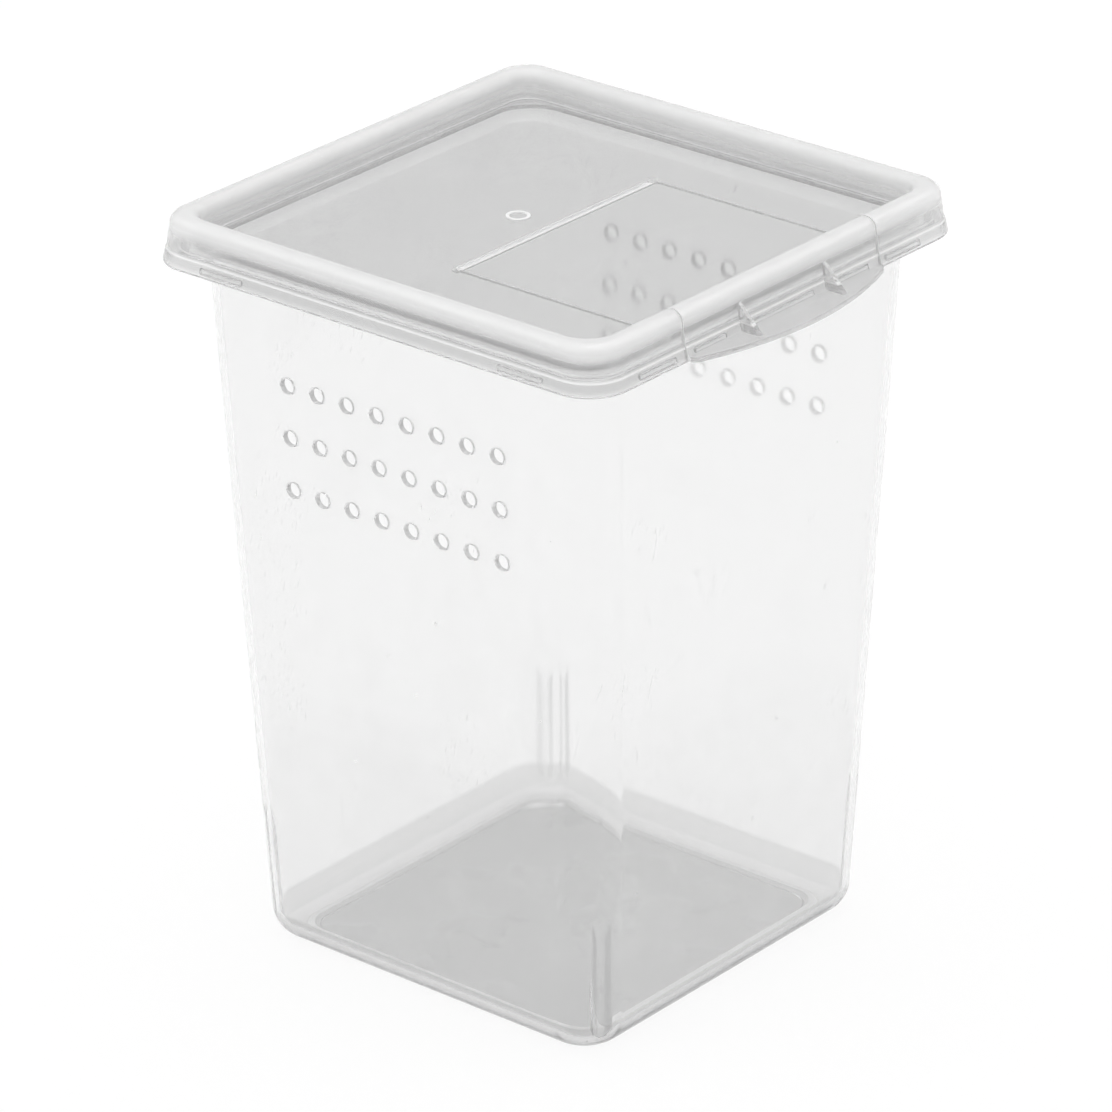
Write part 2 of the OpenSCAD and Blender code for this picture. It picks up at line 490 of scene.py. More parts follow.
def turned(name: str, profile: Sequence[tuple[float, float]], sides: int) -> Piece:
    """A round solid about the Z axis: a disc is extruded and resized from level to level.

    Args:
        name: Its name.
        profile: Radius and height of each level, in mm.
        sides: Number of sides.

    Returns:
        The solid.
    """
    radius, z = profile[0]
    bpy.ops.mesh.primitive_circle_add(
        vertices=sides, radius=radius * MM, fill_type="NGON", location=(0, 0, 0)
    )
    piece = newest(name)
    with editing(piece):
        choose(piece, Part.FACES)
        bpy.ops.transform.translate(value=(0, 0, z * MM))
        for next_radius, next_z in profile[1:]:
            extrude(0, 0, next_z - z)
            scale = next_radius / radius
            bpy.ops.transform.resize(value=(scale, scale, 1), center_override=(0, 0, 0))
            radius, z = next_radius, next_z
        face_outwards()
    return piece


def plate(name: str, outline: Sequence[tuple[float, float]], z: float, thickness: float) -> Piece:
    """A flat plate with any outline: a vertex is extruded along it, the loop is filled and raised.

    Args:
        name: Its name.
        outline: Its outline in mm, in order.
        z: Its lower face.
        thickness: Its thickness.

    Returns:
        The plate.
    """
    bpy.ops.mesh.primitive_plane_add(size=1)
    piece = newest(name)
    with editing(piece):
        choose(piece, Part.VERTS)
        bpy.ops.mesh.merge(type="CENTER")
        bpy.ops.transform.translate(value=(outline[0][0] * MM, outline[0][1] * MM, z * MM))
        for (x0, y0), (x1, y1) in zip(outline, outline[1:]):
            extrude(x1 - x0, y1 - y0, 0)
        bpy.ops.mesh.select_all(action="SELECT")
        bpy.ops.mesh.edge_face_add()
        extrude(0, 0, thickness)
        face_outwards()
    return piece


# --------------------------------------------------------------------------- finishes


@dataclass
class Canvas:
    """What a finish is drawn with: the material's nodes, its object coordinates and its flow lines."""

    tree: Tree
    place: Socket
    flow: Optional[Node] = None


@dataclass(frozen=True)
class MouldedPolypropylene:
    """Clarified polypropylene, injection moulded against polished steel. Sizes in mm.

    The eye gets a nearly clear sheet with a trace of white haze in it. Faint flow lines spread from
    the gate, the faces are not quite flat, so that what is behind them and on them bends a little,
    and handling has left a few pale scuffs and specks.
    """

    name: str = "moulded_clarified_polypropylene"
    tints: tuple[tuple[float, str], ...] = ((0.0, "FFFFFF"),)
    haze: float = 0.03
    roughness: float = 0.05
    gloss_spread: float = 0.4
    ior: float = 1.49
    # Light lost per metre inside the plastic, which greys a wall a little where it is seen along its length.
    absorption: float = 2.0
    gate: tuple[float, float] = (0.0, 0.0)
    # The flow lines are this wide 50 mm from the gate, and waver about 14 times in a metre.
    flow_width: float = 5.0
    flow_circle: float = 50.0
    flow_waver: float = 14.0
    flow_haze: float = 0.02
    flow_share: float = 0.05
    ripple_length: float = 22.0
    ripple_height: float = 0.004
    # Real scuffs are about 0.1 mm wide and dust pits 0.2 mm. Both are drawn wider, or they would not show.
    scuff_width: float = 0.5
    scuff_length: float = 14.0
    scuff_turn: tuple[float, float, float] = (0.25, 0.2, 0.0)
    scuff_edge: tuple[float, float] = (0.74, 0.8)
    scuff_groups: tuple[float, float] = (0.55, 0.65)
    scuff_haze: float = 0.2
    smear_size: float = 30.0
    smear_edge: tuple[float, float] = (0.5, 0.72)
    smear_haze: float = 0.04
    speck_size: float = 0.45
    speck_spacing: float = 9.0
    speck_chance: float = 0.28
    speck_haze: float = 0.45
    shade_tint: str = "F4F4F4"
    mirror_bounces: float = 3.0
    all_bounces: float = 10.0

    def build(self) -> bpy.types.Material:
        """Builds the material.

        Returns:
            The material.
        """
        material = bpy.data.materials.new(self.name)
        tree = empty_tree(material)
        canvas = Canvas(tree, add_node(tree, "TexCoord").outputs["Object"])
        canvas.flow = self.flow_lines(canvas)
        clearness = None
        for mark, amount in self.haze_marks(canvas):
            clearness = add_node(
                tree,
                "Math",
                {"operation": "MULTIPLY_ADD"},
                values={1: -amount, 2: 1.0 - self.haze},
                links={0: mark} if clearness is None else {0: mark, 2: clearness},
            )
        shader = add_node(
            tree,
            "BsdfPrincipled",
            values={"Base Color": linear_colour(self.tints[0][1]), "IOR": self.ior},
            links={
                "Roughness": self.gloss(canvas),
                "Transmission Weight": clearness,
                "Normal": self.unevenness(canvas),
            },
        )
        if len(self.tints) > 1:
            colour = self.by_height(canvas, [(z, linear_colour(tint)) for z, tint in self.tints])
            tree.links.new(colour.outputs[0], shader.inputs["Base Color"])
        surface = self.let_light_out(tree, shader)
        inside = add_node(
            tree, "VolumeAbsorption", values={"Color": (0, 0, 0, 1), "Density": self.absorption}
        )
        add_node(tree, "OutputMaterial", links={"Surface": surface, "Volume": inside})
        return material

    def by_height(self, canvas: Canvas, stops: Sequence[tuple[float, Colour]]) -> Node:
        """A colour that changes with height.

        Args:
            canvas: What the material is drawn with.
            stops: Heights in mm, lowest first, each with its linear colour.

        Returns:
            The colour.
        """
        low, high = stops[0][0], stops[-1][0]
        height = add_node(canvas.tree, "SeparateXYZ", links={0: canvas.place})
        share = add_node(
            canvas.tree,
            "MapRange",
            values={"From Min": low * MM, "From Max": high * MM},
            links={"Value": height.outputs["Z"]},
        )
        ramp = add_node(canvas.tree, "ValToRGB", links={0: share})
        elements = ramp.color_ramp.elements
        elements[0].color = stops[0][1]
        elements[1].color = stops[-1][1]
        for z, colour in stops[1:-1]:
            elements.new((z - low) / (high - low)).color = colour
        return ramp

    def haze_marks(self, canvas: Canvas) -> Marks:
        """What makes the plastic hazier in places.

        Args:
            canvas: What the material is drawn with.

        Returns:
            Masks from 0 to 1, each with the haze that it adds.
        """
        return [
            (canvas.flow, self.flow_haze),
            (self.scuffs(canvas), self.scuff_haze),
            (self.patches(canvas, self.smear_size, self.smear_edge), self.smear_haze),
            (self.specks(canvas), self.speck_haze),
        ]

    def gloss(self, canvas: Canvas) -> Node:
        """The roughness, a little uneven along the flow lines.

        Args:
            canvas: What the material is drawn with.

        Returns:
            The roughness.
        """
        low, high = 1 - self.gloss_spread, 1 + self.gloss_spread
        values = {"To Min": low * self.roughness, "To Max": high * self.roughness}
        return add_node(canvas.tree, "MapRange", values=values, links={"Value": canvas.flow})

    def flow_lines(self, canvas: Canvas) -> Node:
        """Streaks along which the melt ran outwards from the gate and up the walls.

        Args:
            canvas: What the material is drawn with.

        Returns:
            A value from 0 to 1.
        """
        tree, path = canvas.tree, canvas.place
        gate = (self.gate[0] * MM, self.gate[1] * MM, 0)
        streaks = self.flow_circle / self.flow_width
        path = add_node(tree, "VectorMath", {"operation": "SUBTRACT"}, {1: gate}, {0: path})
        along = add_node(tree, "VectorMath", {"operation": "SCALE"}, {"Scale": self.flow_waver}, {0: path})
        path = add_node(tree, "VectorMath", {"operation": "MULTIPLY"}, {1: (1, 1, 0)}, {0: path})
        path = add_node(tree, "VectorMath", {"operation": "NORMALIZE"}, links={0: path})
        path = add_node(tree, "VectorMath", {"operation": "SCALE"}, {"Scale": streaks}, {0: path})
        path = add_node(tree, "VectorMath", {"operation": "ADD"}, links={0: path, 1: along})
        values = {"Scale": 1.0, "Detail": 2.0, "Roughness": 0.6}
        return add_node(tree, "TexNoise", values=values, links={"Vector": path})

    def scuffs(self, canvas: Canvas) -> Node:
        """Fine, short scratches in loose groups, up and down the walls as the box is handled.

        Args:
            canvas: What the material is drawn with.

        Returns:
            1 on a scuff, 0 elsewhere.
        """
        tree = canvas.tree
        drawn_out = add_node(
            tree,
            "Mapping",
            {"vector_type": "TEXTURE"},
            values={
                "Rotation": self.scuff_turn,
                "Scale": (self.scuff_width * MM, self.scuff_width * MM, self.scuff_length * MM),
            },
            links={"Vector": canvas.place},
        )
        noise = {"Scale": 1.0, "Detail": 0.0}
        needles = add_node(tree, "TexNoise", values=noise, links={"Vector": drawn_out})
        edge = {"From Min": self.scuff_edge[0], "From Max": self.scuff_edge[1]}
        line = add_node(tree, "MapRange", values=edge, links={"Value": needles})
        groups = self.patches(canvas, 1.5 * self.scuff_length, self.scuff_groups)
        return add_node(tree, "Math", {"operation": "MULTIPLY"}, links={0: line, 1: groups})

    def patches(self, canvas: Canvas, size: float, edge: tuple[float, float]) -> Node:
        """Cloudy patches, as finger marks and dried water leave them.

        Args:
            canvas: What the material is drawn with.
            size: Their size, in mm.
            edge: Noise values at which a patch starts and is full.

        Returns:
            1 inside a patch, 0 outside.
        """
        scale = {"Scale": 1.0 / (size * MM), "Detail": 3.0}
        return add_node(
            canvas.tree,
            "MapRange",
            {"interpolation_type": "SMOOTHSTEP"},
            values={"From Min": edge[0], "From Max": edge[1]},
            links={"Value": add_node(canvas.tree, "TexNoise", values=scale, links={"Vector": canvas.place})},
        )

    def specks(self, canvas: Canvas) -> Node:
        """Dust pits and small knocks, far apart and uneven in size.

        Args:
            canvas: What the material is drawn with.

        Returns:
            1 on a speck, 0 elsewhere.
        """
        tree, scale = canvas.tree, {"Scale": 1.0 / (self.speck_spacing * MM)}
        cells = add_node(tree, "TexVoronoi", values=scale, links={"Vector": canvas.place})
        chance = add_node(tree, "SeparateXYZ", links={0: cells.outputs["Color"]})
        reach = add_node(
            tree,
            "MapRange",
            values={"From Min": 1 - self.speck_chance, "To Max": self.speck_size / self.speck_spacing},
            links={"Value": chance},
        )
        return add_node(
            tree, "Math", {"operation": "LESS_THAN"}, links={0: cells.outputs["Distance"], 1: reach}
        )

    def unevenness(self, canvas: Canvas) -> Node:
        """The slow waves of a thin wall that shrank as it cooled, with the flow lines on them.

        Args:
            canvas: What the material is drawn with.

        Returns:
            The bent normal.
        """
        tree, scale = canvas.tree, {"Scale": 1.0 / (self.ripple_length * MM), "Detail": 1.0}
        waves = add_node(tree, "TexNoise", values=scale, links={"Vector": canvas.place})
        height = add_node(
            tree,
            "Math",
            {"operation": "MULTIPLY_ADD"},
            values={1: self.flow_share},
            links={0: canvas.flow, 2: waves},
        )
        size = {"Strength": 1.0, "Distance": self.ripple_height * MM}
        return add_node(tree, "Bump", values=size, links={"Height": height})

    def let_light_out(self, tree: Tree, surface: Node) -> Node:
        """Lets lamps shine through the wall, and lets out light that has been guided along inside it.

        Args:
            tree: The material's nodes.
            surface: The plastic's shader.

        Returns:
            The shader to show.
        """
        path = add_node(tree, "LightPath")
        passed = path.outputs["Is Shadow Ray"]
        for depth, limit in (("Glossy Depth", self.mirror_bounces), ("Ray Depth", self.all_bounces)):
            over = add_node(tree, "Math", {"operation": "GREATER_THAN"}, {1: limit}, {0: path.outputs[depth]})
            passed = add_node(tree, "Math", {"operation": "MAXIMUM"}, links={0: over, 1: passed})
        clear = add_node(tree, "BsdfTransparent", values={"Color": linear_colour(self.shade_tint)})
        return add_node(tree, "MixShader", links={0: passed, 1: surface, 2: clear})


@dataclass(frozen=True)
class TubPolypropylene(MouldedPolypropylene):
    """The tub's plastic, whose base fillet is thicker than its walls, tinted darker towards the bottom as
    painted shade.

    The eye gets light walls and a greyer band up the fillet, with a crisp upper edge.
    """

    name: str = "moulded_tub_polypropylene"
    # The greyer band from 1.5 to 6.1 mm up the fillet and the grey foot below 1.2 mm are painted shade,
    # darker towards the bottom.
    tints: tuple[tuple[float, str], ...] = (
        (0.0, "ECECEC"),
        (1.2, "ECECEC"),
        (1.5, "DCDCDC"),
        (6.1, "E4E4E4"),
        (6.4, "F9F9F9"),
        (7.0, "F9F9F9"),
    )


@dataclass(frozen=True)
class ShadedStainedPolypropylene(MouldedPolypropylene):
    """The same plastic in the middle of the tub's floor, tinted grey as painted shade, with dried stains.

    The eye gets a grey floor with paler patches.
    """

    name: str = "stained_floor_polypropylene"
    # The grey tint is painted shade; the stains are paler patches of haze.
    tints: tuple[tuple[float, str], ...] = ((0.0, "D0D0D0"),)
    stain_size: float = 16.0
    stain_edge: tuple[float, float] = (0.53, 0.6)
    stain_haze: float = 0.2

    def haze_marks(self, canvas: Canvas) -> Marks:
        """The marks of all the plastic, and the stains on the floor.

        Args:
            canvas: What the material is drawn with.

        Returns:
            Masks from 0 to 1, each with the haze that it adds.
        """
        stains = self.patches(canvas, self.stain_size, self.stain_edge)
        return super().haze_marks(canvas) + [(stains, self.stain_haze)]


@dataclass(frozen=True)
class PanelPolypropylene(MouldedPolypropylene):
    """The lid's thin, flat panel, tinted greyer than the rim as painted shade.

    The eye gets a clear grey sheet inside the soft white rim.
    """

    name: str = "moulded_panel_polypropylene"
    # The grey tint is painted shade.
    tints: tuple[tuple[float, str], ...] = ((0.0, "E0E0E0"),)


@dataclass(frozen=True)
class LidPolypropylene(MouldedPolypropylene):
    """The lid's folded rim, tinted and hazed by height: the darker band low on the skirt is painted shade,
    and the white line along the skirt's step and the whiter crest are painted highlight.

    The eye gets a soft white crest over a grey skirt, with a white line along the skirt's step.
    """

    name: str = "moulded_lid_polypropylene"
    # DBDBDB from 144.5 to 146.0 mm is painted shade; FFFFFF from 146.2 to 146.5 mm and FCFCFC up to the crest
    # are painted highlight.
    tints: tuple[tuple[float, str], ...] = (
        (143.6, "EDEDED"),
        (144.3, "EDEDED"),
        (144.5, "DBDBDB"),
        (146.0, "DBDBDB"),
        (146.2, "FFFFFF"),
        (146.5, "FFFFFF"),
        (146.6, "EEEEEE"),
        (149.0, "EEEEEE"),
        (151.2, "FCFCFC"),
    )
    # The haze rises to 0.45 on the skirt's step and the crest as painted highlight.
    hazes: tuple[tuple[float, float], ...] = (
        (143.6, 0.06),
        (146.0, 0.06),
        (146.2, 0.45),
        (146.5, 0.45),
        (146.7, 0.06),
        (149.0, 0.1),
        (151.2, 0.45),
    )
    roughness: float = 0.18
    scuff_haze: float = 0.03

    def haze_marks(self, canvas: Canvas) -> Marks:
        """The marks of all the plastic, and the haze that changes with height, raised on the step and the
        crest as painted highlight.

        Args:
            canvas: What the material is drawn with.

        Returns:
            Masks from 0 to 1, each with the haze that it adds.
        """
        # The haze by height, whose raised values on the step and the crest are painted highlight.
        milky = self.by_height(canvas, [(z, (haze, haze, haze, 1.0)) for z, haze in self.hazes])
        return super().haze_marks(canvas) + [(milky, 1.0)]


@dataclass(frozen=True)
class ShearedPolypropylene(MouldedPolypropylene):
    """The same plastic where a core pin sheared against steel, left matt.

    The eye gets pale grey rings in the air holes.
    """

    name: str = "sheared_polypropylene"
    haze: float = 0.5
    roughness: float = 0.15


@dataclass(frozen=True)
class HighlightHazePolypropylene(MouldedPolypropylene):
    """The same plastic at the flap's seams, the gate and the floor's step, made hazy there as painted
    highlight.

    The eye gets milky light lines.
    """

    name: str = "stress_whitened_polypropylene"
    # This haze paints light lines: painted highlight.
    haze: float = 0.85
    roughness: float = 0.19


@dataclass(frozen=True)
class ErodedPolypropylene(MouldedPolypropylene):
    """The same plastic moulded against the spark-eroded sides of the ribs' slots, which can't be polished.

    The eye gets satin grey bands beside each rib.
    """

    name: str = "spark_eroded_polypropylene"
    roughness: float = 0.15


@dataclass(frozen=True)
class FlexedPolypropylene(MouldedPolypropylene):
    """The same plastic in the hinge web, whitened where it has been bent.

    The eye gets a milky line across the lid.
    """

    name: str = "flexed_polypropylene"
    haze: float = 0.3
    roughness: float = 0.15


def dress(
    piece: Piece, finish: bpy.types.Material, *others: tuple[bpy.types.Material, Callable[[Face], bool]]
) -> None:
    """Gives a piece one material all over, and some of its faces another.

    Args:
        piece: The piece.
        finish: The material of the piece.
        *others: Other materials, each with a test of which faces get it.
    """
    piece.data.materials.clear()
    piece.data.materials.append(finish)
    for number, (other, test) in enumerate(others, start=1):
        piece.data.materials.append(other)
        for face in piece.data.polygons:
            if test(face):
                face.material_index = number


# --------------------------------------------------------------------------- the tub


@dataclass
class Tub:
    """The box: leaning walls, stepped rim, base and foot ring, air holes and corner ribs. Sizes in mm."""

    seat_height: float = 143.6
    width: float = 98.4
    lean: float = 0.0436
    corner: float = 9.5
    base_fillet: float = 6.3
    wall: float = 1.3
    floor: float = 1.6
    floor_panel: float = 36.5
    floor_panel_corner: float = 5.7
    floor_panel_step: float = 0.4
    floor_panel_slope: float = 0.8
    floor_line: float = 0.7
    # Rings on the flat floor climb by this much, so that no two of them lie in one plane.
    floor_rise: float = 0.01
    recess_half: float = 35.0
    recess_corner: float = 5.5
    recess_depth: float = 0.5
    rim_half: float = 52.0
    rim_axis: float = 45.5
    rim_thickness: float = 1.6
    rim_rounding: float = 0.5
    step_low: float = 1.7
    step_high: float = 2.7
    rim_top: float = 7.9
    ridge_reach: float = 0.7
    ridge_height: float = 1.2
    edge: float = 0.3
    hole_diameter: float = 3.0
    hole_edge: float = 0.3
    hole_columns: int = 8
    hole_rows: int = 3
    hole_pitch: float = 7.36
    hole_sides: int = 32
    row_pitch: float = 10.87
    top_row_drop: float = 20.1
    rib_width: float = 4.2
    rib_reach: float = 0.8
    rib_height: float = 34.6
    rib_slope: float = 9.0
    rib_side_run: float = 1.73
    rib_rounding: float = 0.3
    rib_turns: tuple[float, ...] = (-17.0, 0.0, 17.0, 0.0)
    corner_steps: int = 16
    wall_steps: int = 6

    def outer(self, z: float) -> float:
        """Half the outer width at a height."""
        return self.width / 2 + self.lean * (z - self.seat_height)

    def base_rings(self) -> Profile:
        """The underside, from the recess over the foot ring to the foot of the walls.

        Returns:
            Its rings.
        """
        fillet, edge = self.base_fillet, self.edge
        foot_axis = self.outer(fillet) - self.corner
        rings = arc(self.recess_half - self.recess_corner, self.recess_half + edge, edge, edge, 180, 270, 3)
        return rings + arc(foot_axis, foot_axis + self.corner - fillet, fillet, fillet, -90, 0, 12)

    def wall_rings(self, low: float, high: float, inset: float) -> Profile:
        """Rings of a leaning wall, evenly spaced.

        Args:
            low: First height.
            high: Last height.
            inset: Distance inside the outer face.

        Returns:
            wall_steps + 1 rings.
        """
        levels = [low + (high - low) * i / self.wall_steps for i in range(self.wall_steps + 1)]
        return [Ring(self.outer(z) - inset, self.outer(z) - self.corner, z) for z in levels]

    def rim_rings(self) -> Profile:
        """The stepped rim with its snap ridge, from the outside over the top to the inside.

        Returns:
            Its rings.
        """
        low = self.seat_height + self.step_low
        step = self.seat_height + self.step_high
        top = self.seat_height + self.rim_top
        ridge = self.rim_half + self.ridge_reach
        inner = self.rim_half - self.rim_thickness
        edge, rounding = self.edge, self.rim_rounding
        rings = [Ring(self.outer(low) + edge, self.outer(low) - self.corner, low)]
        rings += arc(self.rim_axis, ridge - edge, low + edge, edge, -90, 0, 3)
        rings += arc(self.rim_axis, ridge - edge, low + self.ridge_height - edge, edge, 0, 90, 3)
        rings += [Ring(self.rim_half, self.rim_axis, low + self.ridge_height)]
        rings += arc(self.rim_axis, self.rim_half - rounding, top - rounding, rounding, 0, 90, 4)
        rings += arc(self.rim_axis, inner + rounding, top - rounding, rounding, 90, 180, 4)
        return rings + arc(self.rim_axis, inner - edge, step + edge, edge, 0, -90, 3)

    def inside_rings(self) -> Profile:
        """The inner fillet, the floor and its raised middle.

        Returns:
            Its rings.
        """
        fillet = self.base_fillet - self.wall
        start = self.floor + fillet
        axis = self.outer(start) - self.corner
        panel, panel_axis = self.floor_panel, self.floor_panel - self.floor_panel_corner
        rings = arc(axis, axis + self.corner - self.wall - fillet, start, fillet, 0, -90, 10)
        rings += [Ring(panel + self.floor_line, panel_axis, self.floor + self.floor_rise)]
        rings += [Ring(panel, panel_axis, self.floor + 2 * self.floor_rise)]
        return rings + [Ring(panel - self.floor_panel_slope, panel_axis, self.floor + self.floor_panel_step)]

    def build(self) -> Piece:
        """Models the tub.

        Returns:
            The tub's object.
        """
        first = Ring(self.recess_half, self.recess_half - self.recess_corner, self.recess_depth)
        step_low, step_high = self.seat_height + self.step_low, self.seat_height + self.step_high
        model = RingModel("tub_shell", first, self.corner_steps)
        model.follow(self.base_rings())
        model.follow(self.wall_rings(self.base_fillet, step_low, 0.0))
        model.follow(self.rim_rings())
        model.follow(self.wall_rings(step_high, self.floor + self.base_fillet - self.wall, self.wall))
        model.follow(self.inside_rings())
        shell = model.close()
        ribs = [self.rib(number, turn) for number, turn in enumerate(self.rib_turns)]
        combine(shell, joined(ribs, "ribs"), Cut.JOIN)
        combine(shell, self.hole_tools(), Cut.TAKE_AWAY)
        smooth(shell)
        return shell

    def rib(self, number: int, turn: float) -> Piece:
        """Models the rib of one lower corner.

        Args:
            number: Which corner, from 0 to 3.
            turn: Turn off the corner's diagonal, in degrees.

        Returns:
            The rib, reaching halfway into the wall.
        """
        inner_corner = self.corner - self.wall
        inner = inner_corner - self.rib_reach
        root = inner_corner + self.wall / 2
        half = self.rib_width / 2
        piece = block(f"rib_{number}", (inner, -half, self.base_fillet / 2), (root, half, self.rib_height))
        middle, halfway = (inner + root) / 2 * MM, self.rib_height / 2 * MM
        tip = 1 - self.rib_side_run * self.rib_reach / half
        foot = 1 + self.rib_side_run * (root - inner_corner) / half
        with editing(piece):
            choose(piece, Part.VERTS, lambda vertex: vertex.co.x < middle)
            bpy.ops.transform.resize(value=(1, tip, 1), center_override=(0, 0, 0))
            choose(piece, Part.VERTS, lambda vertex: vertex.co.x > middle)
            bpy.ops.transform.resize(value=(1, foot, 1), center_override=(0, 0, 0))
            choose(piece, Part.VERTS, lambda vertex: vertex.co.x < middle and vertex.co.z > halfway)
            bpy.ops.transform.translate(value=(0, 0, -self.rib_slope * MM))
            choose(piece, Part.VERTS, lambda vertex: vertex.co.x > middle and vertex.co.z < halfway)
            bpy.ops.transform.translate(value=((inner_corner - root) * MM, 0, 0))
        soften(piece, self.rib_rounding, 30.0, 4)
        start = (self.outer(0) - self.corner) * MM
        piece.matrix_world = (
            Matrix.Rotation(math.radians(90 * number), 4, "Z")
            @ Matrix.Translation((start, start, 0))
            @ Matrix.Rotation(math.radians(45), 4, "Z")
            @ Matrix.Rotation(math.atan(self.lean * math.sqrt(2)), 4, "Y")
            @ Matrix.Rotation(math.radians(turn), 4, "Z")
        )
        return settle(piece)

    def hole_profile(self, z: float) -> list[tuple[float, float]]:
        """The outline of an air hole through the wall, with rounded edges.

        Args:
            z: The hole's height.

        Returns:
            Radius and distance from the box's middle of each level.
        """
        radius, edge, beyond = self.hole_diameter / 2, self.hole_edge, 0.4
        inner, outer = self.outer(z) - self.wall, self.outer(z)
        turns = [math.radians(angle) for angle in (80, 55, 30, 0)]
        widths = [(radius + edge - edge * math.cos(t), edge * math.sin(t)) for t in turns]
        profile = [(radius + edge + beyond, inner - beyond)]
        profile += [(width, inner + edge - depth) for width, depth in widths]
        profile += [(width, outer - edge + depth) for width, depth in reversed(widths)]
        return profile + [(radius + edge + beyond, outer + beyond)]

    def hole_tools(self) -> Piece:
        """Models what cuts the air holes.

        Returns:
            The turned shapes of all the holes.
        """
        rows = []
        first = -(self.hole_columns - 1) / 2 * self.hole_pitch * MM
        for row, side in product(range(self.hole_rows), (1, -1)):
            z = self.seat_height - self.top_row_drop - row * self.row_pitch
            tool = turned("hole", self.hole_profile(z), self.hole_sides)
            turn = Matrix.Rotation(side * math.pi / 2, 4, "Y")
            tool.matrix_world = Matrix.Translation((0, first, z * MM)) @ turn
            apply_modifier(
                settle(tool),
                "ARRAY",
                count=self.hole_columns,
                use_relative_offset=False,
                use_constant_offset=True,
                constant_offset_displace=(0, self.hole_pitch * MM, 0),
            )
            rows.append(tool)
        return joined(rows, "hole_tools")

    def in_hole(self, face: Face) -> bool:
        """Whether a face is the inside of an air hole, which faces along the wall within the holes' field.

        Args:
            face: A face of the tub.

        Returns:
            Whether it is.
        """
        spot, top = face.center / MM, self.seat_height - self.top_row_drop
        half = (self.hole_columns - 1) / 2 * self.hole_pitch + self.hole_diameter
        low = top - (self.hole_rows - 1) * self.row_pitch - self.hole_diameter
        in_field = abs(spot.y) < half and low < spot.z < top + self.hole_diameter
        return in_field and abs(spot.x) > abs(spot.y) + 5 and abs(face.normal.x) < 0.8

    def floor_reach(self, face: Face) -> float:
        """How far out a face lies.

        Args:
            face: A face of the tub.

        Returns:
            Half the width of the rounded square through it, in mm.
        """
        axis = self.floor_panel - self.floor_panel_corner
        beyond = Vector([max(abs(place) / MM - axis, 0) for place in face.center.xy])
        return axis + beyond.length

    def in_floor_panel(self, face: Face) -> bool:
        """Whether a face is the top or the underside of the floor's raised middle."""
        flat = face.center.z / MM < self.floor + self.floor_panel_step + 0.1 and abs(face.normal.z) > 0.95
        return flat and self.floor_reach(face) < self.floor_panel - self.floor_panel_slope

    def on_floor_step(self, face: Face) -> bool:
        """Whether a face is the slope round the floor's raised middle, or the line along its foot, both of
        which get the painted highlight.

        Args:
            face: A face of the tub.

        Returns:
            Whether it is.
        """
        level = face.center.z / MM - self.floor
        out = self.floor_reach(face) - self.floor_panel
        low = -0.05 < level < self.floor_panel_step - 0.03
        return low and -self.floor_panel_slope < out < self.floor_line

    def on_rib_side(self, face: Face) -> bool:
        """Whether a face is the sloping side of a rib, which stands inside the corner.

        Args:
            face: A face of the tub.

        Returns:
            Whether it is.
        """
        spot, normal = face.center / MM, face.normal
        centre = self.outer(spot.z) - self.corner
        out = Vector((abs(spot.x) - centre, abs(spot.y) - centre))
        inside = min(out) > 0 and out.length < self.corner - self.wall - 0.03
        facing = Vector((normal.x * math.copysign(1, spot.x), normal.y * math.copysign(1, spot.y)))
        above_base = self.floor + self.base_fillet - self.wall + 0.3
        return inside and above_base < spot.z < self.rib_height and abs(facing.dot(out.normalized())) < 0.93


# --------------------------------------------------------------------------- the lid


